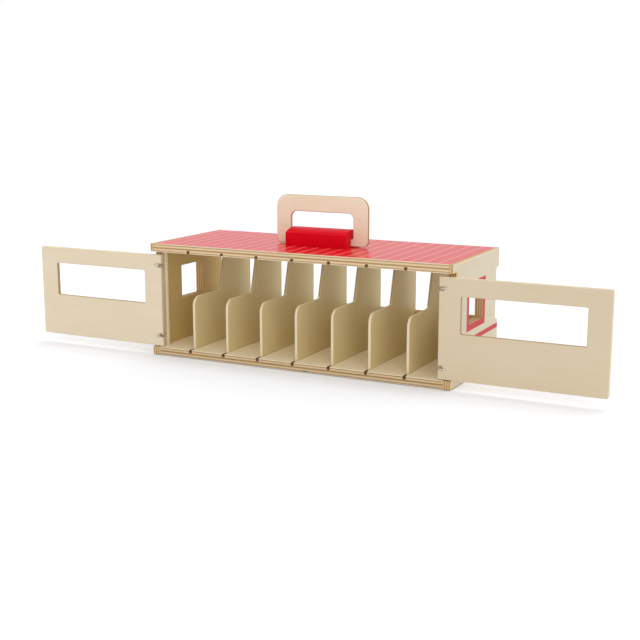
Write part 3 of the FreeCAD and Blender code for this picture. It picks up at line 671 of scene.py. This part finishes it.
def screw_mesh():
    """One screw standing on its head, with a cross recess in it."""
    shape = bmesh.new()
    steps = SCREW_STEPS
    turns = [2 * math.pi * step / steps for step in range(steps)]
    levels = ((0.0, HEAD_RADIUS), (HEAD_RIM, HEAD_RADIUS), (HEAD_HEIGHT, SCREW_RADIUS),
              (SCREW_LENGTH - POINT_LENGTH, SCREW_RADIUS), (SCREW_LENGTH, POINT_RADIUS))
    rings = []
    for z, radius in levels:
        rings.append([shape.verts.new((radius * math.cos(t), radius * math.sin(t), z)) for t in turns])
    for lower, upper in zip(rings, rings[1:]):
        for i in range(steps):
            shape.faces.new((lower[i], lower[(i + 1) % steps], upper[(i + 1) % steps], upper[i]))
    shape.faces.new(rings[-1])
    w, r = RECESS_HALF_WIDTH, RECESS_REACH
    cross = [(r, -w), (r, w), (w, w), (w, r), (-w, r), (-w, w),
             (-r, w), (-r, -w), (-w, -w), (-w, -r), (w, -r), (w, -w)]
    mouth = [shape.verts.new((x, y, 0.0)) for x, y in cross]
    bottom = [shape.verts.new((x * RECESS_TAPER, y * RECESS_TAPER, RECESS_DEPTH)) for x, y in cross]
    for i in range(len(cross)):
        j = (i + 1) % len(cross)
        shape.faces.new((mouth[i], mouth[j], bottom[j], bottom[i]))
    shape.faces.new(bottom)
    rim = [shape.edges.get((rings[0][i], rings[0][(i + 1) % steps])) for i in range(steps)]
    rim += [shape.edges.get((mouth[i], mouth[(i + 1) % len(cross)])) for i in range(len(cross))]
    bmesh.ops.triangle_fill(shape, edges=rim, use_beauty=True)
    bmesh.ops.recalc_face_normals(shape, faces=shape.faces)
    mesh = bpy.data.meshes.new("handle_screw")
    shape.to_mesh(mesh)
    shape.free()
    return mesh


def placing_tree():
    """Nodes that stand one screw on every given point."""
    tree = bpy.data.node_groups.new("screws_at_points", "GeometryNodeTree")
    tree.interface.new_socket("Points", in_out="INPUT", socket_type="NodeSocketGeometry")
    tree.interface.new_socket("Screw", in_out="INPUT", socket_type="NodeSocketObject")
    tree.interface.new_socket("Metal", in_out="INPUT", socket_type="NodeSocketMaterial")
    tree.interface.new_socket("Screws", in_out="OUTPUT", socket_type="NodeSocketGeometry")
    given = tree.nodes.new("NodeGroupInput").outputs
    wanted = tree.nodes.new("NodeGroupOutput").inputs
    source = tree.nodes.new("GeometryNodeObjectInfo")
    stand = tree.nodes.new("GeometryNodeInstanceOnPoints")
    real = tree.nodes.new("GeometryNodeRealizeInstances")
    metal = tree.nodes.new("GeometryNodeSetMaterial")
    for start, end in (
            (given["Points"], stand.inputs["Points"]), (given["Screw"], source.inputs["Object"]),
            (source.outputs["Geometry"], stand.inputs["Instance"]),
            (stand.outputs["Instances"], real.inputs["Geometry"]),
            (real.outputs["Geometry"], metal.inputs["Geometry"]), (given["Metal"], metal.inputs["Material"]),
            (metal.outputs["Geometry"], wanted["Screws"])):
        tree.links.new(start, end)
    return tree


def zinc_plate():
    """Zinc plating with a fine spangle of brighter and duller grains."""
    material, tree, shader = new_material("zinc_plated_steel")
    coordinate, _ = split_place(tree)
    spangle = grain_noise(tree, stretch(tree, coordinate, 700.0, 700.0, 700.0), 3.0, 0.6)
    dull = ramp(tree, spangle, 0.35, 0.7)
    feed(tree, shader.inputs["Base Color"], blend(tree, dull, BRIGHT_ZINC, DULL_ZINC))
    shader.inputs["Metallic"].default_value = 1.0
    feed(tree, shader.inputs["Roughness"], calc(tree, "MULTIPLY_ADD", spangle, 0.3, 0.22))
    return material


screws_low, screws_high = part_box("handle_screws")
screw_points = bpy.data.meshes.new("screw_points")
screw_points.from_pydata(
    [(x, y, screws_low.z) for x in (screws_low.x + HEAD_RADIUS, screws_high.x - HEAD_RADIUS)
     for y in (screws_low.y + HEAD_RADIUS, screws_high.y - HEAD_RADIUS)], [], [])
one_screw = bpy.data.objects.new("one_screw", screw_mesh())
screws = baked("wood_screws", screw_points, placing_tree(), {"Screw": one_screw, "Metal": zinc_plate()})
bpy.data.objects.remove(one_screw)
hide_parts("handle_screws")
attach(screws, "stable")


# Studio
# A white sweep under broad soft light, and a camera where the photographer stood.
# The surroundings are white to the camera, and for the light brighter behind, where the sweep rises.

CAMERA_PLACE = (0.5410, -1.0741, 0.2853)
CAMERA_PITCH, CAMERA_TURN = 11.44, 26.86
LENS = 62.55
FLOOR_REACH, FLOOR_DROP = 6.0, 0.0008
PAPER_WHITE, PAPER_SHADE = from_screen(246, 248, 252), from_screen(242, 244, 249)
PAPER_LIFT = 0.07
ROOM_AMBIENT, SWEEP_AMBIENT = 0.52, 0.95
ROOM_SHEEN, SWEEP_SHEEN = 0.30, 0.80

floor_mesh = bpy.data.meshes.new("studio_floor")
floor_corners = ((-1, -1), (1, -1), (1, 1), (-1, 1))
floor_mesh.from_pydata([(x * FLOOR_REACH, y * FLOOR_REACH, 0) for x, y in floor_corners], [], [(0, 1, 2, 3)])
studio_floor = bpy.data.objects.new("studio_floor", floor_mesh)
studio_floor.location.z = -FLOOR_DROP
bpy.context.scene.collection.objects.link(studio_floor)
floor_material, tree, shader = new_material("white_paper")
coordinate, _ = split_place(tree)
paper = grain_noise(tree, stretch(tree, coordinate, 40.0, 40.0, 40.0), 4.0)
feed(tree, shader.inputs["Base Color"], blend(tree, paper, PAPER_WHITE, PAPER_SHADE))
shader.inputs["Roughness"].default_value = 0.9
shader.inputs["Emission Color"].default_value = (1.0, 1.0, 1.0, 1.0)
to_camera = tree.nodes.new("ShaderNodeLightPath").outputs["Is Camera Ray"]
feed(tree, shader.inputs["Emission Strength"], calc(tree, "MULTIPLY", to_camera, PAPER_LIFT))
floor_mesh.materials.append(floor_material)

world = bpy.data.worlds.new("studio")
bpy.context.scene.world = world
world.use_nodes = True
tree = world.node_tree
sky = tree.nodes["Background"]
rays = tree.nodes.new("ShaderNodeLightPath").outputs
heading = tree.nodes.new("ShaderNodeSeparateXYZ")
feed(tree, heading.inputs[0], tree.nodes.new("ShaderNodeTexCoord").outputs["Generated"])
rearward = heading.outputs[1]
sheen = ramp(tree, rearward, -0.3, 0.5, ROOM_SHEEN, SWEEP_SHEEN)
ambient = ramp(tree, rearward, -0.1, 0.6, ROOM_AMBIENT, SWEEP_AMBIENT)
mirrored = calc(tree, "MULTIPLY_ADD", rays["Is Glossy Ray"], calc(tree, "SUBTRACT", sheen, ambient), ambient)
straight = calc(tree, "MAXIMUM", rays["Is Camera Ray"], rays["Is Transmission Ray"])
sky.inputs["Color"].default_value = (1.0, 1.0, 1.0, 1.0)
feed(tree, sky.inputs["Strength"], calc(tree, "MAXIMUM", mirrored, straight))


def broad_sun(name, towards, irradiance, spread):
    """Even soft light from one direction over the whole sweep."""
    lamp = bpy.data.lights.new(name, "SUN")
    lamp.energy = irradiance
    lamp.angle = math.radians(spread)
    holder = bpy.data.objects.new(name, lamp)
    holder.rotation_euler = Vector(towards).to_track_quat("-Z", "Y").to_euler()
    bpy.context.scene.collection.objects.link(holder)


broad_sun("overhead_light", (-0.05, -0.15, -1.0), 0.72, 25.0)
broad_sun("front_light", (-0.35, 0.72, -0.58), 1.04, 60.0)
broad_sun("right_light", (-0.85, -0.3, -0.4), 0.34, 70.0)

camera = bpy.data.cameras.new("photographer")
camera.lens = LENS
camera.sensor_width = 36.0
camera.sensor_fit = "HORIZONTAL"
camera.clip_start = 0.01
viewer = bpy.data.objects.new("photographer", camera)
viewer.location = CAMERA_PLACE
viewer.rotation_euler = (math.radians(90 - CAMERA_PITCH), 0, math.radians(CAMERA_TURN))
bpy.context.scene.collection.objects.link(viewer)
bpy.context.scene.camera = viewer
bpy.context.scene.view_settings.view_transform = "Standard"
